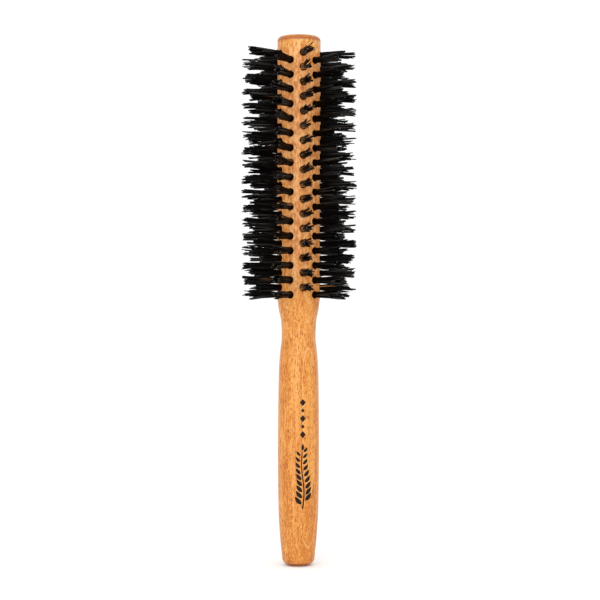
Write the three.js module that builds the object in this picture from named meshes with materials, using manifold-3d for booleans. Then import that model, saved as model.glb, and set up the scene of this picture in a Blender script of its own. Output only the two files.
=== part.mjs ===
// A round barrel brush for blow-drying hair: one turned beech body, barrel and handle in one piece,
// with rows of bristle tufts set into blind holes drilled round the barrel.
//
// Millimetres, +Z up. The brush stands on the butt of its handle: the origin is the centre of the
// butt face, and +Z runs up the axis to the end of the barrel. The first row of tufts faces -Y.
import * as THREE from "three";
import { mergeVertices } from "three/addons/utils/BufferGeometryUtils.js";
import Module from "manifold-3d";

const wasm = await Module();
wasm.setup();

// Driving dimensions
const LENGTH = 220;
const BARREL_R = 9;
const NECK_R = 7;
const GRIP_R = 8.45;
const BUTT_R = 6.75;
const BRISTLE_R = 24.2; // from the axis to the tips of the longest bristles
const ROWS = 10; // rows of tufts round the barrel, every second one shifted by half a pitch
const TUFTS = 17; // tufts along each row
const PITCH = 6.05;
const FIRST_TUFT_DROP = 7.6; // from the barrel's end down to the first tuft of row 1

// The turned outline
const SHOULDER_Z = 113.5; // the barrel's cylinder starts here
const NECK_Z = 96.5;
const BARREL_EDGE = 1.7; // rounding of the barrel's end
const BUTT_FLAT_R = 2.6; // the small flat that the brush stands on
const BUTT_DOME = 3; // height of the butt's dome, from that flat up to the handle's side
const EDGE_STEPS = 4;
const OUTLINE_STEPS = 18;
const BODY_SIDES = 40;

// The drilled holes and the tufts in them
const HOLE_R = 1.5;
const HOLE_DEPTH = 5;
const HOLE_SIDES = 6;
const HOLE_OVERSHOOT = 1.5; // how far the drill stands out of the barrel
const TUFT_GAP = 0.3; // between a tuft's root and the hole's floor
const ROOT_R = 1.25;
const TUFT_SIDES = 6;
const FAN_ALONG = 3.56; // half-width of a tuft's fan along the row, where it meets the next tuft's
const FAN_ACROSS = 2.3; // half-width of the fan towards the next row
const TIP_DOME = 0.8; // how much lower a tuft's edge is than its middle

const ROW_ANGLE = (2 * Math.PI) / ROWS;
const FIRST_TUFT_Z = LENGTH - FIRST_TUFT_DROP;
const SHIFT = PITCH / 2;

const beech = new THREE.MeshStandardMaterial({ color: 0xe0a263, roughness: 0.45, metalness: 0 });
const bristle = new THREE.MeshStandardMaterial({ color: 0x14110f, roughness: 0.4, metalness: 0 });

// Solids for cutting and joining
function solidOf(geometry) {
  const bare = geometry.clone();
  bare.deleteAttribute("normal");
  bare.deleteAttribute("uv");
  const merged = mergeVertices(bare, 1e-4);
  return new wasm.Manifold(
    new wasm.Mesh({
      numProp: 3,
      vertProperties: new Float32Array(merged.attributes.position.array),
      triVerts: new Uint32Array(merged.index.array),
    }),
  );
}

function geometryOf(solid) {
  const mesh = solid.getMesh();
  const geometry = new THREE.BufferGeometry();
  geometry.setAttribute("position", new THREE.BufferAttribute(mesh.vertProperties, 3));
  geometry.setIndex(new THREE.BufferAttribute(mesh.triVerts, 1));
  geometry.computeVertexNormals();
  return geometry;
}

// A quarter of an ellipse of the outline about (r, z), from the angle `from` to the angle `to`
function roundedEdge(r, z, across, up, from, to) {
  return Array.from({ length: EDGE_STEPS + 1 }, (_, i) => {
    const angle = from + ((to - from) * i) / EDGE_STEPS;
    return new THREE.Vector2(r + across * Math.cos(angle), z + up * Math.sin(angle));
  });
}

// The handle's outline from the butt's dome up to the barrel: butt, belly, neck and shoulder
function handleOutline() {
  const stations = [
    [BUTT_R, BUTT_DOME],
    [7.6, 11.5],
    [8.2, 20],
    [GRIP_R, 31],
    [GRIP_R, 68],
    [8.28, 78],
    [7.95, 86],
    [7.4, 91.5],
    [NECK_R, NECK_Z],
    [7.4, 102],
    [8.45, 107.5],
    [BARREL_R, SHOULDER_Z],
  ].map(([r, z]) => new THREE.Vector3(r, z, 0));
  const curve = new THREE.CatmullRomCurve3(stations, false, "chordal");
  return curve.getSpacedPoints(OUTLINE_STEPS).map((p) => new THREE.Vector2(p.x, p.y));
}

function turnedBlank() {
  const right = Math.PI / 2;
  const endFlat = BARREL_R - BARREL_EDGE;
  const butt = roundedEdge(BUTT_FLAT_R, BUTT_DOME, BUTT_R - BUTT_FLAT_R, BUTT_DOME, -right, 0);
  const end = roundedEdge(endFlat, LENGTH - BARREL_EDGE, BARREL_EDGE, BARREL_EDGE, 0, right);
  const outline = [
    new THREE.Vector2(0, 0),
    ...butt,
    ...handleOutline().slice(1),
    ...end,
    new THREE.Vector2(0, LENGTH),
  ];
  return new THREE.LatheGeometry(outline, BODY_SIDES).rotateX(Math.PI / 2);
}

// How far row `row` is shifted down the barrel
const rowShift = (row) => (row % 2 ? -SHIFT : 0);

function woodenBody() {
  const floor = BARREL_R - HOLE_DEPTH;
  const length = HOLE_DEPTH + HOLE_OVERSHOOT;
  const drill = new THREE.CylinderGeometry(HOLE_R, HOLE_R, length, HOLE_SIDES);
  drill.translate(0, -floor - length / 2, 0);
  const holes = [];
  for (let row = 0; row < ROWS; row++) {
    for (let tuft = 0; tuft < TUFTS; tuft++) {
      const hole = drill.clone();
      hole.translate(0, 0, FIRST_TUFT_Z + rowShift(row) - tuft * PITCH);
      hole.rotateZ(row * ROW_ANGLE);
      holes.push(solidOf(hole));
    }
  }
  const drilled = solidOf(turnedBlank()).subtract(wasm.Manifold.union(holes));
  const body = new THREE.Mesh(geometryOf(drilled), beech);
  body.name = "wooden_body";
  return body;
}

// One tuft: a round root in its hole, and bristles that fan out to the tips
function tuftGeometry() {
  const outline = [
    new THREE.Vector2(0, BARREL_R - HOLE_DEPTH + TUFT_GAP),
    new THREE.Vector2(ROOT_R, BARREL_R - HOLE_DEPTH + TUFT_GAP),
    new THREE.Vector2(ROOT_R, BARREL_R + TUFT_GAP),
    new THREE.Vector2(FAN_ALONG, BRISTLE_R - TIP_DOME),
    new THREE.Vector2(0, BRISTLE_R),
  ];
  const tuft = new THREE.LatheGeometry(outline, TUFT_SIDES);
  const position = tuft.attributes.position;
  for (let i = 0; i < position.count; i++) {
    const fanned = Math.max(0, position.getY(i) - BARREL_R) / (BRISTLE_R - BARREL_R);
    position.setX(i, position.getX(i) * THREE.MathUtils.lerp(1, FAN_ACROSS / FAN_ALONG, fanned));
  }
  return tuft.rotateX(Math.PI); // the tips point to -Y
}

// A row of tufts, whose bristles mingle where the fans meet, so that the row is one piece
function bristleRowGeometry() {
  const tufts = [];
  for (let tuft = 0; tuft < TUFTS; tuft++) {
    tufts.push(solidOf(tuftGeometry().translate(0, 0, -tuft * PITCH)));
  }
  return geometryOf(wasm.Manifold.union(tufts));
}

const brush = new THREE.Group();
brush.add(woodenBody());

const rowGeometry = bristleRowGeometry();
for (let row = 0; row < ROWS; row++) {
  const mesh = new THREE.Mesh(rowGeometry, bristle);
  mesh.name = `bristle_row_${String(row + 1).padStart(2, "0")}`;
  mesh.position.z = FIRST_TUFT_Z + rowShift(row);
  mesh.rotation.z = row * ROW_ANGLE;
  brush.add(mesh);
}

export default brush;
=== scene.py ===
import math

import bmesh
import bpy
import numpy as np
from mathutils import Matrix, Vector


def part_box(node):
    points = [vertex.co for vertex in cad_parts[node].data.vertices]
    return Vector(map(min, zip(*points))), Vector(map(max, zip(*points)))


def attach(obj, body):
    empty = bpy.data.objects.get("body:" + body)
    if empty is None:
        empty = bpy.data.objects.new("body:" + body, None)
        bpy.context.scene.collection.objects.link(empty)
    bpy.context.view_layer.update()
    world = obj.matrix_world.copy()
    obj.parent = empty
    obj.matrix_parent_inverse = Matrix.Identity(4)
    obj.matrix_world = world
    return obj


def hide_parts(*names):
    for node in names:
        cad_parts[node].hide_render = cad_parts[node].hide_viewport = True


# A round barrel brush: a turned beech body, ten rows of bristle tufts, the staples that hold them
# and a small printed leaf sprig. Metres, same frame as the CAD: +Z up the axis from the butt face.

MM = 0.001

# The body, as turned and drilled
TUFTS_PER_ROW = 17
TUFT_PITCH = 6.05 * MM
HOLE_RADIUS = 1.55 * MM
HOLE_FLOOR = 4.0 * MM  # from the axis
HOLE_RIM_ROUND = 0.14 * MM
SEAM_ANGLE = -72  # the direction of a CAD edge line that is clear of every hole, in degrees
BARREL_EDGE = 1.7 * MM
BUTT_DOME = 3.0 * MM
BUTT_FLAT_RADIUS = 2.6 * MM

# The bristles, folded in two over their staples
BRISTLE_RADIUS = 0.22 * MM
FOLD_OFFSETS = (0.34 * MM, 0.72 * MM, 1.02 * MM)  # from the staple to each layer of strands beside it
PACK_RADIUS = 1.12 * MM  # of a tuft's root
STRAND_SPACING = 0.42 * MM
MOUTH_SQUEEZE = 0.78  # how far the two sides close up between the staple and the hole's mouth
STAPLE_BOTTOM = 5.45 * MM  # from the axis
STAPLE_HEIGHT = 1.6 * MM
STAPLE_LENGTH = 3.3 * MM
STAPLE_THICKNESS = 0.3 * MM
STAPLE_TURN = 40  # from round the barrel towards along it, in degrees

# The view, with angles in degrees
CAMERA_DISTANCE = 0.635
CAMERA_AZIMUTH = -12
CAMERA_ROLL = 0.08
CAMERA_LIFT = 0.4 * MM  # above the brush's middle
PICTURE_HEIGHT = 0.2502  # of the view where the brush stands
PICTURE_SHIFT = 0.0022  # as a share of the picture
SURROUNDINGS = 1.06  # strength of the white light from all round
FLOOR_HALF = 3.0

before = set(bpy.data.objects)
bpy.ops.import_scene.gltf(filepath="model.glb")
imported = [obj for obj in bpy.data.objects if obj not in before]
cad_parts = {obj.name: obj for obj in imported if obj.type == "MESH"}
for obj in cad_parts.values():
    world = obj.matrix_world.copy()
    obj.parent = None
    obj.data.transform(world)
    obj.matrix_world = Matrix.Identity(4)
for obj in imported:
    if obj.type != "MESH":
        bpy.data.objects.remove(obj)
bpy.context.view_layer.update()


# ---------------------------------------------------------------- reading the frame

def node_points(name):
    """Every vertex of a CAD node, one row each."""
    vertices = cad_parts[name].data.vertices
    flat = np.empty(3 * len(vertices))
    vertices.foreach_get("co", flat)
    return flat.reshape(-1, 3)


def outline_stations():
    """Heights and radii down the turned body, read off the one CAD edge line that is clear of holes."""
    points = node_points("wooden_body")
    angle = np.degrees(np.arctan2(points[:, 1], points[:, 0]))
    radius = np.hypot(points[:, 0], points[:, 1])
    on_line = (abs(angle - SEAM_ANGLE) < 0.2) & (radius > HOLE_FLOOR + 0.3 * MM)
    heights, first = np.unique(points[on_line][:, 2].round(6), return_index=True)
    return heights, radius[on_line][first]


def outline_slopes(z, r):
    """The outline's slope at each station, level wherever it peaks, dips or runs straight."""
    steps = np.diff(r) / np.diff(z)
    below = steps[:-1]
    above = steps[1:]
    product = below * above
    turning = product <= 1e-12
    total = np.where(turning, 1.0, below + above)
    inner = np.where(turning, 0.0, 2 * product / total)
    return np.concatenate([steps[:1], inner, steps[-1:]])


BODY_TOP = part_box("wooden_body")[1][2]
STATION_Z, STATION_R = outline_stations()
smooth = (STATION_Z > BUTT_DOME - 0.01 * MM) & (STATION_Z < BODY_TOP - BARREL_EDGE + 0.01 * MM)
SMOOTH_Z = STATION_Z[smooth]
SMOOTH_R = STATION_R[smooth]
SMOOTH_SLOPE = outline_slopes(SMOOTH_Z, SMOOTH_R)
BARREL_RADIUS = SMOOTH_R[-1]
BUTT_RADIUS = SMOOTH_R[0]
TIP_RADIUS = -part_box("bristle_row_01")[0][1]


def radius_at(z):
    """The body's radius at a height: a smooth curve through the outline's stations, round at both ends."""
    z = np.asarray(z, float)
    inside = np.clip(z, SMOOTH_Z[0], SMOOTH_Z[-1])
    i = np.clip(np.searchsorted(SMOOTH_Z, inside, side="right") - 1, 0, len(SMOOTH_Z) - 2)
    step = SMOOTH_Z[i + 1] - SMOOTH_Z[i]
    t = (inside - SMOOTH_Z[i]) / step
    curve = (
        (1 + 2 * t) * (1 - t) ** 2 * SMOOTH_R[i]
        + t * (1 - t) ** 2 * step * SMOOTH_SLOPE[i]
        + t * t * (3 - 2 * t) * SMOOTH_R[i + 1]
        + t * t * (t - 1) * step * SMOOTH_SLOPE[i + 1]
    )
    below = np.clip(1 - z / BUTT_DOME, 0, 1)
    above = np.clip(1 - (BODY_TOP - z) / BARREL_EDGE, 0, 1)
    curve = curve - (BUTT_RADIUS - BUTT_FLAT_RADIUS) * (1 - np.sqrt(1 - below ** 2))
    return curve - BARREL_EDGE * (1 - np.sqrt(1 - above ** 2))


def row_place(name):
    """A bristle row's direction from the axis, as an angle, and its tufts' heights, lowest first."""
    points = node_points(name)
    tip = points[np.hypot(points[:, 0], points[:, 1]).argmax()]
    angle = math.atan2(tip[1], tip[0])
    middle = (points[:, 2].min() + points[:, 2].max()) / 2
    heights = middle + TUFT_PITCH * (np.arange(TUFTS_PER_ROW) - (TUFTS_PER_ROW - 1) / 2)
    return angle, heights


ROW_NAMES = sorted(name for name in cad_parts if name.startswith("bristle_row_"))
ROWS = [row_place(name) for name in ROW_NAMES]
ROW_STEP = 2 * math.pi / len(ROWS)


# ---------------------------------------------------------------- mesh helpers

def new_piece(name, points, faces, material, smooth_angle=None):
    """A named mesh piece, shaded smooth, with edges sharper than an angle kept."""
    mesh = bpy.data.meshes.new(name)
    mesh.from_pydata([tuple(p) for p in points], [], faces)
    mesh.validate()
    mesh.polygons.foreach_set("use_smooth", [True] * len(mesh.polygons))
    if smooth_angle is not None:
        mesh.set_sharp_from_angle(angle=math.radians(smooth_angle))
    mesh.materials.append(material)
    piece = bpy.data.objects.new(name, mesh)
    bpy.context.scene.collection.objects.link(piece)
    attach(piece, "root")
    return piece


def lay_flat(piece, corners):
    """Gives each face corner its place on a square pattern sheet, a UV layer named OFBake."""
    sheet = piece.data.uv_layers.new(name="OFBake")
    sheet.data.foreach_set("uv", np.asarray(corners, float).ravel())


def ring_faces(first, second, count, closed=True):
    """Quads between two rings of the same number of points, given the index of each ring's first point."""
    steps = count if closed else count - 1
    return [
        (first + i, first + (i + 1) % count, second + (i + 1) % count, second + i)
        for i in range(steps)
    ]


# ---------------------------------------------------------------- node helpers

class Nodes:
    """A short way to write a node material: each call adds one node and returns its output."""

    def __init__(self, name):
        self.material = bpy.data.materials.new(name)
        self.material.use_nodes = True
        self.tree = self.material.node_tree
        self.shader = self.tree.nodes["Principled BSDF"]

    def put(self, socket, value):
        if isinstance(value, bpy.types.NodeSocket):
            self.tree.links.new(value, socket)
        else:
            socket.default_value = value

    def add(self, kind, output=0, settings=(), **inputs):
        node = self.tree.nodes.new(kind)
        for key, value in dict(settings).items():
            setattr(node, key, value)
        for key, value in inputs.items():
            self.put(node.inputs[key.replace("_", " ")], value)
        return node.outputs[output]

    def position(self, scale, turn=0.0):
        """Object coordinates in millimetres, turned about the axis, then divided by a size each way."""
        place = self.add("ShaderNodeTexCoord", "Object")
        turned = self.add("ShaderNodeVectorRotate", settings={"rotation_type": "Z_AXIS"}, Vector=place,
                          Angle=turn)
        return self.add("ShaderNodeMapping", Vector=turned, Scale=[1 / (MM * s) for s in scale])

    def noise(self, vector, detail=2.0):
        return self.add("ShaderNodeTexNoise", "Fac", Vector=vector, Scale=1.0, Detail=detail)

    def voronoi(self, vector):
        """The distance to the nearest of a scatter of points, about one in each unit cell."""
        return self.add("ShaderNodeTexVoronoi", "Distance", Vector=vector, Scale=1.0, Randomness=1.0)

    def split(self, vector):
        node = self.tree.nodes.new("ShaderNodeSeparateXYZ")
        self.put(node.inputs["Vector"], vector)
        return list(node.outputs)

    def math(self, operation, a, b=0.0, c=0.0):
        node = self.tree.nodes.new("ShaderNodeMath")
        node.operation = operation
        for socket, value in zip(node.inputs, (a, b, c)):
            self.put(socket, value)
        return node.outputs[0]

    def ramp(self, factor, *stops):
        """A colour or grey ramp: each stop is a place and a colour, or a place and a grey."""
        node = self.tree.nodes.new("ShaderNodeValToRGB")
        while len(node.color_ramp.elements) < len(stops):
            node.color_ramp.elements.new(0.5)
        for element, (place, colour) in zip(node.color_ramp.elements, stops):
            element.position = place
            element.color = (*colour, 1) if isinstance(colour, tuple) else (colour, colour, colour, 1)
        self.put(node.inputs["Fac"], factor)
        return node.outputs["Color"]

    def mix(self, factor, a, b, blend="MIX"):
        node = self.tree.nodes.new("ShaderNodeMix")
        node.data_type = "RGBA"
        node.blend_type = blend
        self.put(node.inputs["Factor"], factor)
        self.put(node.inputs["A"], a if not isinstance(a, tuple) else (*a, 1))
        self.put(node.inputs["B"], b if not isinstance(b, tuple) else (*b, 1))
        return node.outputs["Result"]

    def bump(self, height, distance, strength=1.0):
        return self.add("ShaderNodeBump", Height=height, Distance=distance, Strength=strength)

    def set(self, **inputs):
        for key, value in inputs.items():
            self.put(self.shader.inputs[key.replace("_", " ")], value)


# ---------------------------------------------------------------- materials

# The growth layers of the blank, in millimetres and degrees: the turn that brings their normal to X,
# how far they lean for each millimetre up, where one of them starts, and their thickness.
GRAIN_TURN = 69
GRAIN_TILT = 0.0157
LAYER_START = 9.12
LAYER_STEP = 1.45

BEECH_LINE = (0.78, 0.41, 0.150)
# Painted light: a multiplier that lifts the barrel's wood between the bristle rows against the shade the
# bristles throw there
BARREL_PAINTED_LIGHT = (1.07, 1.01, 1.06)
BEECH_CREAM = (0.77, 0.42, 0.150)
BEECH_PALE = (0.70, 0.325, 0.070)
BEECH = (0.60, 0.230, 0.028)
BEECH_LATE = (0.47, 0.130, 0.006)
BEECH_FLECK = (0.36, 0.080, 0.003)
BEECH_END = (0.30, 0.060, 0.003)
BEECH_PORE = (0.18, 0.080, 0.035)
# Painted shade: near black for the drilled holes' walls and floors, where shade falls
HOLE_PAINTED_SHADE = (0.006, 0.003, 0.0015)

# A bristle near its root, from the black strands to the brown ones
ROOT_BLACK = (0.003, 0.0012, 0.0006)
ROOT_DARK = (0.012, 0.0045, 0.0018)
ROOT_BROWN = (0.38, 0.155, 0.058)
ROOT_TAN = (0.60, 0.28, 0.115)

# A bristle further out, from the dullest strands to the ones with most painted sheen, grey standing in for
# the light a glossy strand catches
STRAND_BLACK = (0.0006, 0.0005, 0.0005)
STRAND_DARK = (0.0075, 0.0070, 0.0065)
STRAND_GREY = (0.055, 0.051, 0.047)
STRAND_SCALES = (0.006, 0.005, 0.0045)
# Painted shade: near black for the strands inside the holes
STRAND_PAINTED_SHADE_IN_HOLE = (0.0008, 0.0004, 0.0002)
# Pale cut ends: partly the bristle's lighter core, partly a painted highlight where the ends catch light
CUT_END_HIGHLIGHT = (0.17, 0.165, 0.15)

BRASS_DARK = (0.55, 0.37, 0.13)
BRASS_LIGHT = (0.74, 0.54, 0.24)
INK = (0.006, 0.004, 0.003)
INK_WORN = (0.022, 0.012, 0.007)
PAPER = (0.96, 0.96, 0.96, 1)


def beech_material():
    """Lacquered beech: growth layers, fibres, ray flecks, pores, dark end grain, painted shade in the
    holes, darker side bands as painted shade, and painted light on the barrel.
    """
    m = Nodes("beech")
    turn = math.radians(GRAIN_TURN)
    across, along_layer, up = m.split(m.position((1, 1, 1), turn))
    height = m.math("MULTIPLY", up, MM / BODY_TOP)
    slow = m.noise(m.position((9, 9, 60), turn), detail=2)
    drift = m.noise(m.position((3, 3, 14), turn), detail=3)
    depth = m.math("MULTIPLY_ADD", up, GRAIN_TILT, across)
    layer = m.math("MULTIPLY_ADD", depth, 1 / LAYER_STEP, 20 - LAYER_START / LAYER_STEP)
    layer = m.math("MULTIPLY_ADD", slow, 0.24, layer)
    layer = m.math("MULTIPLY_ADD", drift, 0.12, layer)
    year = m.math("FRACT", layer)
    on_handle = m.ramp(height, (0.46, 1.0), (0.54, 0.25))
    on_barrel = m.ramp(height, (0.50, 0.0), (0.56, 1.0), (0.955, 1.0), (0.980, 0.0))

    # Pale early wood and dark late wood in each year, darker bands down the left and right as seen from the
    # front as painted shade, and darker towards the butt
    early = m.ramp(year, (0.0, 0.55), (0.35, 0.0))
    wood = m.mix(m.math("MULTIPLY", early, on_handle), BEECH, BEECH_PALE)
    late = m.ramp(year, (0.55, 0.0), (0.985, 0.9), (1.0, 0.0))
    wood = m.mix(m.math("MULTIPLY", late, on_handle), wood, BEECH_LATE)
    # Painted shade: late-wood colour laid in bands that fall just inside the body's left and right edges as
    # seen from the front
    left = m.math("MULTIPLY_ADD", drift, 0.1, m.math("MULTIPLY", depth, 0.1))
    wood = m.mix(m.ramp(left, (0.24, 0.0), (0.34, 0.95), (0.46, 0.95), (0.60, 0.0)), wood, BEECH_LATE)
    right = m.math("MULTIPLY_ADD", drift, 0.1, m.math("MULTIPLY", along_layer, 0.1))
    wood = m.mix(m.ramp(right, (0.22, 0.0), (0.38, 0.9), (0.52, 0.9), (0.70, 0.0)), wood, BEECH_LATE)
    wood = m.mix(m.ramp(height, (0.02, 0.75), (0.12, 0.5), (0.30, 0.0)), wood, BEECH_LATE)

    # Streaks, clouds and fibres, a creamier mottle on the barrel, and painted light that lifts the barrel's
    # wood against the shade of its bristles
    bands = m.noise(m.position((1.8, 1.8, 30), turn), detail=1)
    wood = m.mix(m.ramp(bands, (0.46, 0.0), (0.66, 0.6)), wood, BEECH_PALE)
    wood = m.mix(m.ramp(bands, (0.32, 0.6), (0.47, 0.0)), wood, BEECH_LATE)
    cloud = m.noise(m.position((1.3, 1.3, 4.2), turn), detail=1)
    wood = m.mix(m.ramp(cloud, (0.50, 0.0), (0.72, 0.75)), wood, BEECH_PALE)
    wood = m.mix(m.ramp(cloud, (0.28, 0.75), (0.47, 0.0)), wood, BEECH_LATE)
    fibre = m.noise(m.position((0.42, 0.42, 1.1), turn), detail=2)
    wood = m.mix(m.ramp(fibre, (0.30, 0.9), (0.50, 0.0)), wood, BEECH_LATE)
    wood = m.mix(m.ramp(fibre, (0.50, 0.0), (0.70, 0.9)), wood, BEECH_PALE)
    mottle = m.noise(m.position((1.1, 1.1, 2.2), turn), detail=3)
    cream = m.ramp(mottle, (0.48, 0.0), (0.64, 0.9))
    wood = m.mix(m.math("MULTIPLY", cream, m.ramp(height, (0.50, 0.0), (0.56, 1.0))), wood, BEECH_CREAM)
    wood = m.mix(m.math("MULTIPLY", m.ramp(mottle, (0.34, 0.8), (0.46, 0.0)), on_barrel), wood, BEECH_LATE)
    # Painted light: the barrel's wood lifted by a fixed multiplier against the bristles' shade
    wood = m.mix(on_barrel, wood, BARREL_PAINTED_LIGHT, blend="MULTIPLY")

    # The pale line where a year starts, the ray flecks and the pores
    broken = m.ramp(m.noise(m.position((1.5, 1.5, 9), turn)), (0.40, 0.4), (0.60, 0.9))
    line = m.ramp(year, (0.0, 0.0), (0.012, 1.0), (0.040, 0.8), (0.08, 0.0))
    wood = m.mix(m.math("MULTIPLY", m.math("MULTIPLY", line, broken), on_handle), wood, BEECH_LINE)
    rays = m.voronoi(m.position((1.1, 0.75, 3.3), turn))
    share = m.noise(m.position((2.6, 2.2, 6), turn), detail=1)
    share = m.ramp(share, (0.41, 0.1), (0.51, 1.0))
    fleck = m.math("MULTIPLY", m.ramp(rays, (0.19, 1.0), (0.31, 0.0)), share)
    fleck = m.math("MULTIPLY", fleck, m.ramp(height, (0.50, 1.0), (0.56, 0.5)))
    wood = m.mix(fleck, wood, BEECH_FLECK)
    pore = m.ramp(m.voronoi(m.position((1.8, 1.8, 5.0), turn)), (0.05, 0.35), (0.11, 0.0))
    wood = m.mix(pore, wood, BEECH_PORE)

    # The end faces with their rings, the dark edges beside them, and painted shade in the holes
    facing = m.math("ABSOLUTE", m.split(m.add("ShaderNodeNewGeometry", "Normal"))[2])
    rings = m.ramp(year, (0.0, BEECH_END), (0.08, BEECH_LATE), (1.0, BEECH_END))
    wood = m.mix(m.ramp(facing, (0.90, 0.0), (0.99, 0.65)), wood, rings)
    rim = m.ramp(height, (0.0012, 0.0), (0.0024, 1.0), (0.0042, 1.0), (0.0068, 0.0),
                 (0.9900, 0.0), (0.9925, 1.0), (0.9950, 1.0), (0.9972, 0.2))
    wood = m.mix(rim, wood, BEECH_END)
    # Painted shade in the holes, growing with the depth below the mouth
    hole = m.add("ShaderNodeAttribute", "Fac", settings={"attribute_name": "hole_depth"})
    wood = m.mix(m.ramp(hole, (0.01, 0.0), (0.08, 0.85), (0.2, 1.0)), wood, HOLE_PAINTED_SHADE)
    m.set(Base_Color=wood, Coat_Weight=0.6, Coat_Roughness=0.34, Coat_IOR=1.5, Specular_IOR_Level=0.1)
    m.set(Roughness=m.ramp(fibre, (0.3, 0.60), (0.7, 0.45)))
    m.set(Normal=m.bump(m.math("SUBTRACT", fibre, m.math("MULTIPLY", pore, 1.5)), 0.02 * MM))
    return m.material


def bristle_material():
    """Boar bristle: brown near the wood, black further out, with painted shade in the holes, painted sheen
    on a share of the strands, and pale cut ends that are partly painted highlight.
    """
    m = Nodes("bristle")
    tone = m.add("ShaderNodeAttribute", "Fac", settings={"attribute_name": "strand_tone"})
    along = m.add("ShaderNodeAttribute", "Fac", settings={"attribute_name": "strand_along"})
    scales = m.noise(m.position((0.15, 0.15, 0.15)), detail=2)
    root = m.ramp(tone, (0.0, ROOT_BLACK), (0.45, ROOT_DARK), (0.65, ROOT_BROWN), (1.0, ROOT_TAN))
    # Painted sheen: a random share of the strands made grey
    painted_sheen = m.add("ShaderNodeAttribute", "Fac", settings={"attribute_name": "strand_painted_sheen"})
    black = m.ramp(painted_sheen, (0.45, STRAND_BLACK), (0.75, STRAND_DARK), (1.0, STRAND_GREY))
    black = m.mix(m.ramp(scales, (0.4, 0.0), (0.7, 0.3)), black, STRAND_SCALES)
    colour = m.mix(m.ramp(along, (0.42, 1.0), (0.70, 0.0)), black, root)
    # Painted shade on the strands inside the holes and just above their mouths
    colour = m.mix(m.ramp(along, (0.23, 1.0), (0.28, 0.0)), colour, STRAND_PAINTED_SHADE_IN_HOLE)
    # Pale cut ends on a patchy share of tips, partly the lighter core and partly painted highlight
    patch = m.noise(m.position((0.9, 0.9, 0.9)), detail=1)
    cut_end = m.ramp(along, (0.97, 0.0), (0.995, 1.0))
    pale = m.math("MULTIPLY", cut_end, m.ramp(patch, (0.60, 0.0), (0.66, 1.0)))
    colour = m.mix(pale, colour, CUT_END_HIGHLIGHT)
    m.set(Base_Color=colour, Specular_IOR_Level=0.05)
    m.set(Roughness=m.ramp(scales, (0.3, 0.36), (0.7, 0.50)))
    m.set(Normal=m.bump(scales, 0.01 * MM, 0.6))
    return m.material


def staple_material():
    """Drawn brass wire, a little dull."""
    m = Nodes("staple_wire")
    drawn = m.noise(m.position((0.1, 0.1, 0.6)), detail=3)
    m.set(Base_Color=m.ramp(drawn, (0.3, BRASS_DARK), (0.7, BRASS_LIGHT)))
    m.set(Metallic=1.0, Roughness=m.ramp(drawn, (0.3, 0.28), (0.7, 0.46)))
    m.set(Normal=m.bump(drawn, 0.01 * MM))
    return m.material


def ink_material():
    """Dark brown pad-printed ink, slightly worn."""
    m = Nodes("print_ink")
    wear = m.noise(m.position((0.25, 0.25, 0.5)), detail=3)
    m.set(Base_Color=m.ramp(wear, (0.35, INK), (0.75, INK_WORN)))
    m.set(Specular_IOR_Level=0.15, Roughness=m.ramp(wear, (0.3, 0.55), (0.7, 0.75)))
    m.set(Normal=m.bump(wear, 0.01 * MM))
    return m.material


def paper_material():
    """The plain white floor."""
    m = Nodes("paper")
    m.set(Base_Color=PAPER, Roughness=0.9, Specular_IOR_Level=0.1)
    return m.material


# ---------------------------------------------------------------- the turned body

CELL_STEPS = 8  # along each side of the square of barrel round a hole
CIRCLE_STEPS = 4 * CELL_STEPS
ROUND_STEPS = CELL_STEPS * len(ROWS)
OUTLINE_SAMPLES = 400
HANDLE_RINGS = 108
SHEET_SIZE = 131 * MM  # the square sheet that the unrolled surface lies on
SHEET_GAP = 1 * MM
START_ANGLE = ROWS[0][0] - ROW_STEP / 2


def round_heights(start, size, steps, rising):
    """Heights round a quarter-circle edge, spaced evenly in angle."""
    turn = np.linspace(0, math.pi / 2, steps + 1)
    return start + size * (np.sin(turn) if rising else 1 - np.cos(turn))


BUTT_HEIGHTS = round_heights(0, BUTT_DOME, 12, False)
END_HEIGHTS = round_heights(BODY_TOP - BARREL_EDGE, BARREL_EDGE, 8, True)
SIDE_HEIGHTS = np.linspace(BUTT_DOME, BODY_TOP - BARREL_EDGE, OUTLINE_SAMPLES)
RISE_Z = np.concatenate([BUTT_HEIGHTS, SIDE_HEIGHTS[1:-1], END_HEIGHTS])
RISE = np.concatenate([[0], np.cumsum(np.hypot(np.diff(RISE_Z), np.diff(radius_at(RISE_Z))))])


def on_surface(angle, z):
    """A point on the turned surface."""
    r = radius_at(z)
    return np.stack([r * np.cos(angle), r * np.sin(angle), z + 0 * angle], axis=-1)


def unrolled(angle, z, corner):
    """The same point's place when the surface is unrolled flat from a corner of the pattern sheet."""
    along = np.interp(z, RISE_Z, RISE) - np.interp(corner[2], RISE_Z, RISE)
    around = (angle - START_ANGLE) * BARREL_RADIUS
    return np.stack([corner[0] + around, corner[1] + along + 0 * angle], axis=-1)


def cell_edge():
    """The drilled cell's square outline, unit half-widths, from one corner and anticlockwise."""
    t = np.linspace(-1, 1, CELL_STEPS + 1)[:-1]
    one = np.ones(CELL_STEPS)
    across = np.concatenate([t, one, -t, -one])
    up = np.concatenate([-one, t, one, -t])
    return across, up


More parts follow.
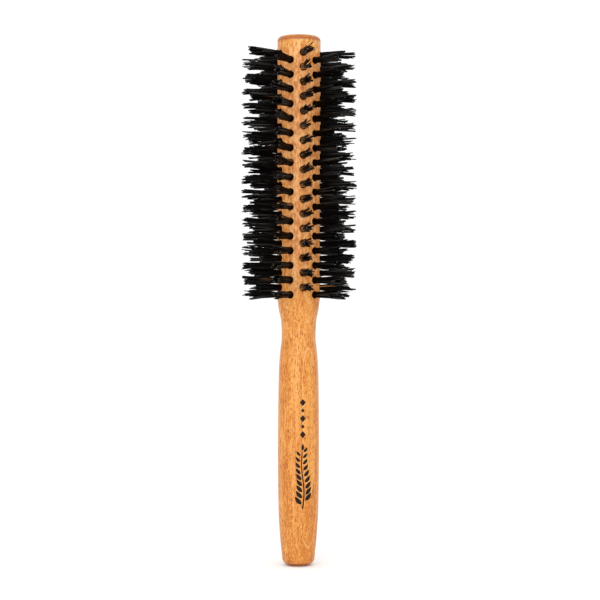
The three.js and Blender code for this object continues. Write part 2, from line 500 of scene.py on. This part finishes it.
def drilled_cell(row_angle, z, corner):
    """One row step by one pitch of barrel with its blind hole: points, faces, flat places, depths."""
    across, up = cell_edge()
    turn = np.arctan2(up, across)
    rim = HOLE_RADIUS + HOLE_RIM_ROUND

    def surface_ring(radius, blend):
        side = radius * np.cos(turn)
        height = radius * np.sin(turn)
        angle = np.arcsin(side / radius_at(z + height))
        angle = row_angle + angle + (across * ROW_STEP / 2 - angle) * blend
        height = z + height + (up * TUFT_PITCH / 2 - height) * blend
        return on_surface(angle, height), unrolled(angle, height, corner), 0.0

    def sunk_ring(radius, share, depth=None, floor=None):
        side = radius * np.cos(turn)
        height = z + radius * np.sin(turn)
        if floor is None:
            out = np.sqrt(radius_at(height) ** 2 - side ** 2) - depth
        else:
            out = floor + 0 * side
        points = np.stack([
            out * math.cos(row_angle) - side * math.sin(row_angle),
            out * math.sin(row_angle) + side * math.cos(row_angle),
            height,
        ], axis=-1)
        middle = unrolled(row_angle, z, corner)
        return points, middle + share * rim * np.stack([np.cos(turn), np.sin(turn)], axis=-1), 1 - share

    rings = [
        surface_ring(rim, 1.0),
        surface_ring(rim + 0.25 * MM, 0.5),
        surface_ring(rim + 0.12 * MM, 0.0),
        surface_ring(rim, 0.0),
        sunk_ring(HOLE_RADIUS + 0.3 * HOLE_RIM_ROUND, 0.97, depth=0.3 * HOLE_RIM_ROUND),
        sunk_ring(HOLE_RADIUS, 0.92, depth=HOLE_RIM_ROUND),
        sunk_ring(HOLE_RADIUS, 0.8, depth=0.6 * MM),
        sunk_ring(HOLE_RADIUS, 0.65, depth=1.8 * MM),
        sunk_ring(HOLE_RADIUS, 0.5, floor=HOLE_FLOOR + 0.1 * MM),
        sunk_ring(HOLE_RADIUS - 0.15 * MM, 0.45, floor=HOLE_FLOOR),
        sunk_ring(0.3 * HOLE_RADIUS, 0.2, floor=HOLE_FLOOR - 0.2 * MM),
    ]
    faces = []
    for i in range(len(rings) - 1):
        faces += ring_faces(i * CIRCLE_STEPS, (i + 1) * CIRCLE_STEPS, CIRCLE_STEPS)
    faces.append(tuple(range((len(rings) - 1) * CIRCLE_STEPS, len(rings) * CIRCLE_STEPS)))
    points = np.concatenate([ring[0] for ring in rings])
    flat = np.concatenate([ring[1] for ring in rings])
    depth = np.repeat([ring[2] for ring in rings], CIRCLE_STEPS)
    return points, faces, flat, depth


def plain_patch(angles, heights, corner):
    """A grid of undrilled surface between two angles and two heights."""
    points = np.concatenate([on_surface(angles, z + 0 * angles) for z in heights])
    flat = np.concatenate([unrolled(angles, z + 0 * angles, corner) for z in heights])
    faces = []
    for i in range(len(heights) - 1):
        faces += ring_faces(i * len(angles), (i + 1) * len(angles), len(angles), closed=False)
    return points, faces, flat, np.zeros(len(points))


def end_cap(z, radius, up, middle):
    """The flat disc at one end, in rings down to its middle, and its place on the pattern sheet."""
    angles = np.linspace(0, 2 * math.pi, ROUND_STEPS + 1)[:-1] + START_ANGLE
    circle = np.stack([np.cos(angles), np.sin(angles)], axis=-1)
    flat = np.concatenate([circle * radius * share for share in (1.0, 0.97, 0.75, 0.5, 0.25)] + [[[0, 0]]])
    centre = len(flat) - 1
    faces = []
    for start in range(0, centre - ROUND_STEPS, ROUND_STEPS):
        faces += ring_faces(start, start + ROUND_STEPS, ROUND_STEPS)
    inner = centre - ROUND_STEPS
    faces += [(inner + i, inner + (i + 1) % ROUND_STEPS, centre) for i in range(ROUND_STEPS)]
    if not up:
        faces = [face[::-1] for face in faces]
    points = np.column_stack([flat, np.full(len(flat), z)])
    return points, faces, flat + middle, np.zeros(len(points))


def turned_body():
    """The whole wooden body as one closed mesh, with its 170 real holes."""
    lowest = min(heights[0] for angle, heights in ROWS) - TUFT_PITCH / 2
    highest = max(heights[-1] for angle, heights in ROWS) + TUFT_PITCH / 2
    width = 2 * math.pi * BARREL_RADIUS + SHEET_GAP
    barrel = (SHEET_GAP, SHEET_GAP, lowest)
    grip = (SHEET_GAP + width, SHEET_GAP, 0.0)
    parts = []
    for row_angle, heights in ROWS:
        row_angle = START_ANGLE + (row_angle - START_ANGLE) % (2 * math.pi)
        angles = row_angle + np.linspace(-0.5, 0.5, CELL_STEPS + 1) * ROW_STEP
        parts += [drilled_cell(row_angle, z, barrel) for z in heights]
        spare = ((lowest, heights[0] - TUFT_PITCH / 2), (heights[-1] + TUFT_PITCH / 2, highest))
        for start, stop in spare:
            if stop - start > 0.1 * MM:
                parts.append(plain_patch(angles, np.linspace(start, stop, CELL_STEPS // 2 + 1), barrel))
    around = START_ANGLE + np.linspace(0, 2 * math.pi, ROUND_STEPS + 1)
    top = np.concatenate([np.linspace(highest, END_HEIGHTS[0], 4)[:-1], END_HEIGHTS])
    handle = np.concatenate([BUTT_HEIGHTS[:-1], np.linspace(BUTT_DOME, lowest, HANDLE_RINGS)])
    cap_line = SHEET_SIZE - BARREL_RADIUS
    end_radius = BARREL_RADIUS - BARREL_EDGE
    parts.append(plain_patch(around, top, barrel))
    parts.append(plain_patch(around, handle, grip))
    parts.append(end_cap(BODY_TOP, end_radius, True, np.array([BARREL_RADIUS, cap_line])))
    parts.append(end_cap(0.0, BUTT_FLAT_RADIUS, False, np.array([3 * BARREL_RADIUS, cap_line])))
    starts = np.cumsum([0] + [len(points) for points, faces, flat, depth in parts])
    faces = [tuple(start + i for i in face) for start, part in zip(starts, parts) for face in part[1]]
    body = new_piece("turned_body", np.concatenate([part[0] for part in parts]), faces, beech_material())
    flat = np.concatenate([part[2] for part in parts])
    lay_flat(body, flat[[loop.vertex_index for loop in body.data.loops]] / SHEET_SIZE)
    attribute = body.data.attributes.new("hole_depth", "FLOAT", "POINT")
    attribute.data.foreach_set("value", np.concatenate([part[3] for part in parts]))
    weld(body, 0.003 * MM)
    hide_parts("wooden_body")


def weld(piece, distance):
    """Joins the points that neighbouring patches share."""
    mesh = bmesh.new()
    mesh.from_mesh(piece.data)
    bmesh.ops.remove_doubles(mesh, verts=mesh.verts, dist=distance)
    bmesh.ops.recalc_face_normals(mesh, faces=mesh.faces)
    mesh.to_mesh(piece.data)
    mesh.free()


# ---------------------------------------------------------------- bristles and staples

STRAND_SIDES = 6
STRAND_BANDS = 3  # of columns, one above the other, on the pattern sheet
RING_CLUMPS = 8  # of tips round a tuft's edge
INNER_CLUMPS = 2  # and in its middle
TIP_SPREAD = 1.5  # how many times wider the tips stand than the hole's mouth
TUFT_LEAN = 0.18 * MM
MOUTH_SCATTER = 0.02 * MM
LEG_BEND = 0.07 * MM
BRISTLE_SEED = 100
STAPLE_SEED = 500

# How far the bristles reach, as shares of the way from the axis to the row's outermost point
LONG_FROM = 0.92
LONG_TO = 0.985
REACH_SCATTER = 0.02
REACH_LIMIT = 0.997

# How few of a row's strands are brown, its share of long clumps, its shortest reach, its tips' spread
# The brown share is partly the bristle's own colour and partly painted light: the front row is made far
# browner for its lit roots, the other rows' roots stay near black as painted shade
FRONT_ROW = (0.45, 0.1, 0.66, 1.5 * MM)
OTHER_ROWS = (40.0, 0.55, 0.76, 1.6 * MM)
RELAX_STEPS = 10

# Where along a leg's outer part its rings stand, closer together at the mouth and at the tip
REACH_SHARES = np.array([0.0, 0.06, 0.14, 0.25, 0.38, 0.52, 0.66, 0.8, 0.92, 0.985, 1.0])


def staple_turns(number):
    """How a row's staples lie across their holes: a diagonal, as the filling machine leaves them."""
    rng = np.random.default_rng(STAPLE_SEED + number)
    return np.radians(STAPLE_TURN) + rng.normal(0, 0.06, TUFTS_PER_ROW)


def tuft_frame(row_angle, z, turn):
    """Axes of one tuft: along the staple, across it, and out of the barrel; and the point on the axis."""
    out = np.array([math.cos(row_angle), math.sin(row_angle), 0.0])
    side = np.array([-math.sin(row_angle), math.cos(row_angle), 0.0])
    up = np.array([0.0, 0.0, 1.0])
    staple = side * math.cos(turn) + up * math.sin(turn)
    return staple, np.cross(out, staple), out, np.array([0.0, 0.0, z])


def strand_seats():
    """Where a tuft's legs leave the staple: one side's legs, then the other's, in the same order."""
    seats = []
    for offset in FOLD_OFFSETS:
        half = math.sqrt(PACK_RADIUS ** 2 - offset ** 2)
        count = int(2 * half / STRAND_SPACING) + 1
        seats += [((i - (count - 1) / 2) * STRAND_SPACING, offset) for i in range(count)]
    one_side = np.array(seats)
    return np.concatenate([one_side, one_side * [1, -1]])


SEATS = strand_seats()
STRAND_COLUMNS = math.ceil(TUFTS_PER_ROW * len(SEATS) / 2 / STRAND_BANDS)


def tuft_tips(rng, spread):
    """Where a tuft's legs end, seen along the tuft, gathered into clumps; and each leg's clump."""
    turn = rng.uniform(0, 2 * math.pi) + np.arange(RING_CLUMPS) * 2 * math.pi / RING_CLUMPS
    ring = spread * rng.uniform(0.85, 1.15, RING_CLUMPS)
    outer = np.column_stack([ring * np.cos(turn), ring * np.sin(turn)])
    outer += rng.normal(0, 0.15 * MM, outer.shape)
    centres = np.vstack([outer, rng.normal(0, spread / 3, (INNER_CLUMPS, 2))])
    tips = SEATS * TIP_SPREAD
    clump = ((tips[:, None] - centres) ** 2).sum(2).argmin(1)
    tips = tips + (centres[clump] - tips) * rng.uniform(0.9, 1.0, (len(tips), 1))
    for step in range(RELAX_STEPS):
        gaps = tips[:, None] - tips
        distance = np.linalg.norm(gaps, axis=2) + np.eye(len(tips))
        push = np.clip(1.5 * BRISTLE_RADIUS - distance, 0, None) / distance
        tips = tips + (gaps * push[:, :, None]).sum(1) / 2
    return tips + rng.normal(0, TUFT_LEAN, 2), clump


def leg_path(rng, seat, tip, reach):
    """One leg's centre line from the staple to its tip, in the tuft's axes, with its thickness."""
    mouth = seat * (1, MOUTH_SQUEEZE) + rng.normal(0, MOUTH_SCATTER, 2)
    bend = rng.normal(0, LEG_BEND, (2, 2))
    s = REACH_SHARES[:, None]
    sideways = mouth * (1 + (TIP_SPREAD - 1) * s ** 0.8) + (tip - mouth * TIP_SPREAD) * s ** 2.5
    sideways = sideways + bend[0] * np.sin(math.pi * s) + bend[1] * np.sin(2 * math.pi * s)
    out = BARREL_RADIUS + (TIP_RADIUS * reach - BARREL_RADIUS) * REACH_SHARES
    foot_out = STAPLE_BOTTOM + np.array([0.2 * MM, 2.0 * MM])
    line = np.column_stack([np.vstack([seat, seat, sideways]), np.concatenate([foot_out, out])])
    thickness = np.concatenate([[1, 1], 1 - 0.08 * REACH_SHARES ** 2])
    thickness[-1] *= 0.6
    along = (line[:, 2] - HOLE_FLOOR) / (TIP_RADIUS * reach - HOLE_FLOOR)
    return line, thickness, along


def fold_path(seat):
    """The half circle under the staple that joins a strand's two legs."""
    along, offset = seat
    turn = np.linspace(0, math.pi, 7)[1:-1]
    out = STAPLE_BOTTOM - offset * np.sin(turn)
    return np.column_stack([np.full(len(turn), along), offset * np.cos(turn), out])


def tube(centre, radius, reference):
    """Points of a tube along a centre line, each ring squared to the line."""
    tangent = np.gradient(centre, axis=0)
    tangent /= np.linalg.norm(tangent, axis=1)[:, None]
    side = reference - tangent * (tangent @ reference)[:, None]
    side /= np.linalg.norm(side, axis=1)[:, None]
    other = np.cross(tangent, side)
    turn = np.linspace(0, 2 * math.pi, STRAND_SIDES + 1)[:-1]
    ring = side[:, None, :] * np.cos(turn)[None, :, None] + other[:, None, :] * np.sin(turn)[None, :, None]
    return (centre[:, None, :] + ring * radius[:, None, None]).reshape(-1, 3)


def tube_faces(start, rings):
    """Faces of a closed tube with two end faces."""
    faces = []
    for i in range(rings - 1):
        first = start + i * STRAND_SIDES
        faces += ring_faces(first, first + STRAND_SIDES, STRAND_SIDES)
    last = start + (rings - 1) * STRAND_SIDES
    faces.append(tuple(range(start + STRAND_SIDES - 1, start - 1, -1)))
    faces.append(tuple(range(last, last + STRAND_SIDES)))
    return faces


def tube_flat(strand, rings):
    """Where those faces' corners lie on the pattern sheet: a narrow column for each strand."""
    column = strand % STRAND_COLUMNS
    band = strand // STRAND_COLUMNS
    across = (column + 0.1 + 0.8 * np.arange(STRAND_SIDES + 1) / STRAND_SIDES) / STRAND_COLUMNS
    up = (band + 0.02 + 0.96 * np.arange(rings) / (rings - 1)) / STRAND_BANDS
    corners = [
        (across[i + right], up[j + above])
        for j in range(rings - 1)
        for i in range(STRAND_SIDES)
        for right, above in ((0, 0), (1, 0), (1, 1), (0, 1))
    ]
    for height, tip in ((up[0], -0.003), (up[-1], 0.003)):
        turn = np.linspace(0, math.pi, STRAND_SIDES)
        corners += zip(across.mean() + 0.4 / STRAND_COLUMNS * np.cos(turn), height + tip * np.sin(turn))
    return corners


def bristle_row(number, row_angle, heights, material):
    """One row of seventeen tufts: every strand folded round its staple, with both tips outside."""
    rng = np.random.default_rng(BRISTLE_SEED + number)
    points = []
    faces = []
    flat = []
    tones = []
    painted_sheens = []
    places = []
    half = len(SEATS) // 2
    # The front row's far browner roots are partly painted light, the other rows' near-black roots partly
    # painted shade
    brown_power, long_share, shortest, spread = FRONT_ROW if number == 1 else OTHER_ROWS
    for z, turn in zip(heights, staple_turns(number)):
        staple, across, out, axis_point = tuft_frame(row_angle, z, turn)
        tips, clump = tuft_tips(rng, spread)
        clumps = RING_CLUMPS + INNER_CLUMPS
        long_reach = rng.uniform(LONG_FROM, LONG_TO, clumps)
        short_reach = rng.uniform(shortest, LONG_FROM, clumps)
        clump_reach = np.where(rng.random(clumps) < long_share, long_reach, short_reach)
        for i in range(half):
            legs = []
            for j in (i, i + half):
                reach = min(clump_reach[clump[j]] + rng.normal(0, REACH_SCATTER), REACH_LIMIT)
                legs.append(leg_path(rng, SEATS[j], tips[j], reach))
            (first, first_size, first_along), (second, second_size, second_along) = legs
            fold = fold_path(SEATS[i])
            line = np.vstack([first[::-1], fold, second])
            size = np.concatenate([first_size[::-1], np.ones(len(fold)), second_size])
            centre = axis_point + line[:, :1] * staple + line[:, 1:2] * across + line[:, 2:] * out
            faces += tube_faces(sum(len(p) for p in points), len(centre))
            flat += tube_flat(len(points), len(centre))
            points.append(tube(centre, size * BRISTLE_RADIUS * rng.uniform(0.88, 1.06), staple))
            tones.append(np.full(len(centre) * STRAND_SIDES, rng.random() ** brown_power))
            painted_sheens.append(np.full(len(centre) * STRAND_SIDES, rng.random()))
            along = np.concatenate([first_along[::-1], np.zeros(len(fold)), second_along])
            places.append(np.repeat(along, STRAND_SIDES))
    piece = new_piece(f"bristles_{number:02d}", np.concatenate(points), faces, material)
    lay_flat(piece, flat)
    for name, values in (("strand_tone", tones), ("strand_painted_sheen", painted_sheens), ("strand_along", places)):
        attribute = piece.data.attributes.new(name, "FLOAT", "POINT")
        attribute.data.foreach_set("value", np.concatenate(values))
    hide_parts(f"bristle_row_{number:02d}")


def staples(material):
    """The flat wire anchors at the bottom of the holes, whose ends bite into the wood."""
    points = []
    faces = []
    for number, (row_angle, heights) in enumerate(ROWS, start=1):
        for z, turn in zip(heights, staple_turns(number)):
            staple, across, out, axis_point = tuft_frame(row_angle, z, turn)
            start = len(points)
            for end in (-1, -0.6, 0.6, 1):
                drop = 0.12 * MM if abs(end) == 1 else 0.0
                for u, v in ((-1, 0), (1, 0), (1, 1), (-1, 1)):
                    place = axis_point + staple * end * STAPLE_LENGTH / 2
                    place = place + across * u * STAPLE_THICKNESS / 2
                    place = place + out * (STAPLE_BOTTOM + v * STAPLE_HEIGHT - drop)
                    points.append(place)
            for i in range(3):
                faces += ring_faces(start + 4 * i, start + 4 * i + 4, 4)
            faces.append((start + 3, start + 2, start + 1, start))
            faces.append((start + 12, start + 13, start + 14, start + 15))
    piece = new_piece("staples", points, faces, material, smooth_angle=40)


# ---------------------------------------------------------------- the printed sprig

PRINT_FOOT = 24.5 * MM
PRINT_HEIGHT = 25 * MM
PRINT_LEAVES = 9
LOZENGES = 5
LOZENGE_FOOT = 55 * MM
LOZENGE_STEP = 3.3 * MM
FILM = 0.04 * MM
FILM_ROOT = 0.05 * MM


def film_strip(centre, half_width):
    """A thin closed strip of ink on the handle, from its centre line across and up the front, in metres."""
    centre = np.asarray(centre, float)
    along = np.gradient(centre, axis=0)
    along /= np.linalg.norm(along, axis=1)[:, None]
    normal = np.column_stack([-along[:, 1], along[:, 0]]) * np.asarray(half_width)[:, None]
    rows = []
    for side, lift in ((1, FILM), (0, FILM), (-1, FILM), (-1, -FILM_ROOT), (1, -FILM_ROOT)):
        place = centre + side * normal
        r = radius_at(place[:, 1])
        angle = ROWS[0][0] + place[:, 0] / r
        out = r + lift
        rows.append(np.stack([out * np.cos(angle), out * np.sin(angle), place[:, 1]], axis=-1))
    points = np.stack(rows, axis=1).reshape(-1, 3)
    count = len(rows)
    faces = []
    for i in range(len(centre) - 1):
        faces += ring_faces(i * count, (i + 1) * count, count)
    faces.append(tuple(range(count - 1, -1, -1)))
    faces.append(tuple(range(len(points) - count, len(points))))
    return points, faces


def leaf(foot, angle, length, width):
    """An almond-shaped leaf that bends a little upwards."""
    t = np.linspace(0, 1, 13)
    turn = angle * (1 - 0.45 * t)
    step = length / (len(t) - 1)
    across = foot[0] + np.cumsum(np.sin(turn) * step)
    up = foot[1] + np.cumsum(np.cos(turn) * step)
    half_width = 0.03 * MM + width / 2 * np.sin(math.pi * t ** 0.8) ** 0.9
    return film_strip(np.column_stack([across, up]), half_width)


def sprig_stem(s):
    """The stem's place across the handle, a slow wave, at a share of its height."""
    return 0.55 * MM * np.sin(2 * math.pi * s)


def handle_print(material):
    """A printed leaf sprig with a line of lozenges above it, along the front of the handle."""
    s = np.linspace(0, 0.93, 40)
    stem = np.column_stack([sprig_stem(s), PRINT_FOOT + s * PRINT_HEIGHT])
    strips = [film_strip(stem, 0.30 * MM - 0.14 * MM * s)]
    for i in range(PRINT_LEAVES):
        s = 0.10 + 0.80 * i / (PRINT_LEAVES - 1)
        length = (4.3 - 2.0 * s) * MM
        for side in (-1, 1):
            share = s + 0.03 * side
            foot = (sprig_stem(share) + side * 0.42 * MM, PRINT_FOOT + share * PRINT_HEIGHT)
            strips.append(leaf(foot, side * 0.95, length, 0.42 * length))
    strips.append(leaf((sprig_stem(0.95), PRINT_FOOT + 0.95 * PRINT_HEIGHT), 0.1, 2.7 * MM, 1.1 * MM))
    for i in range(LOZENGES):
        size = 1.0 if i % 2 == 0 else 0.6
        t = np.linspace(-1, 1, 9)
        middle = LOZENGE_FOOT + i * LOZENGE_STEP
        centre = np.column_stack([0 * t, middle + t * size * 1.45 * MM])
        strips.append(film_strip(centre, 0.02 * MM + (1 - abs(t)) * size * 1.2 * MM))
    starts = np.cumsum([0] + [len(points) for points, faces in strips])
    faces = [tuple(start + i for i in face) for start, strip in zip(starts, strips) for face in strip[1]]
    piece = new_piece("handle_print", np.concatenate([strip[0] for strip in strips]), faces, material,
                      smooth_angle=50)


# ---------------------------------------------------------------- camera, light, floor

def camera():
    """Level with the middle of the brush, a little to the left of the first row."""
    data = bpy.data.cameras.new("camera")
    data.sensor_width = 36
    data.lens = data.sensor_width * CAMERA_DISTANCE / PICTURE_HEIGHT
    data.dof.use_dof = False
    data.clip_start = 0.01
    data.clip_end = 20
    data.shift_x = PICTURE_SHIFT
    piece = bpy.data.objects.new("camera", data)
    bpy.context.scene.collection.objects.link(piece)
    turn = math.radians(CAMERA_AZIMUTH)
    middle = Vector((0, 0, BODY_TOP / 2 + CAMERA_LIFT))
    piece.location = middle + CAMERA_DISTANCE * Vector((math.sin(turn), -math.cos(turn), 0))
    look = Matrix.Rotation(turn, 4, "Z") @ Matrix.Rotation(math.radians(90), 4, "X")
    piece.rotation_euler = (look @ Matrix.Rotation(math.radians(CAMERA_ROLL), 4, "Z")).to_euler()
    bpy.context.scene.camera = piece


def soft_light(name, azimuth, elevation, distance, size, power):
    """A square softbox aimed at the middle of the brush."""
    data = bpy.data.lights.new(name, "AREA")
    data.shape = "SQUARE"
    data.size = size
    data.energy = power
    piece = bpy.data.objects.new(name, data)
    bpy.context.scene.collection.objects.link(piece)
    a = math.radians(azimuth)
    e = math.radians(elevation)
    middle = Vector((0, 0, BODY_TOP / 2))
    away = Vector((math.sin(a) * math.cos(e), -math.cos(a) * math.cos(e), math.sin(e)))
    piece.location = middle + distance * away
    piece.rotation_euler = away.to_track_quat("Z", "Y").to_euler()


def studio():
    """White surroundings, a key from the front left, a weaker fill, and a white floor."""
    world = bpy.data.worlds.new("studio")
    world.use_nodes = True
    background = world.node_tree.nodes["Background"]
    background.inputs["Color"].default_value = (1, 1, 1, 1)
    background.inputs["Strength"].default_value = SURROUNDINGS
    bpy.context.scene.world = world
    bpy.context.scene.view_settings.view_transform = "Standard"
    soft_light("key", azimuth=-25, elevation=20, distance=0.9, size=0.8, power=3.6)
    soft_light("fill", azimuth=30, elevation=10, distance=1.0, size=0.8, power=0.8)
    mesh = bpy.data.meshes.new("floor")
    corners = [(x * FLOOR_HALF, y * FLOOR_HALF, 0) for x, y in ((-1, -1), (1, -1), (1, 1), (-1, 1))]
    mesh.from_pydata(corners, [], [(0, 1, 2, 3)])
    mesh.materials.append(paper_material())
    floor = bpy.data.objects.new("floor", mesh)
    bpy.context.scene.collection.objects.link(floor)


camera()
studio()
turned_body()
black = bristle_material()
for number, (row_angle, heights) in enumerate(ROWS, start=1):
    bristle_row(number, row_angle, heights, black)
staples(staple_material())
handle_print(ink_material())
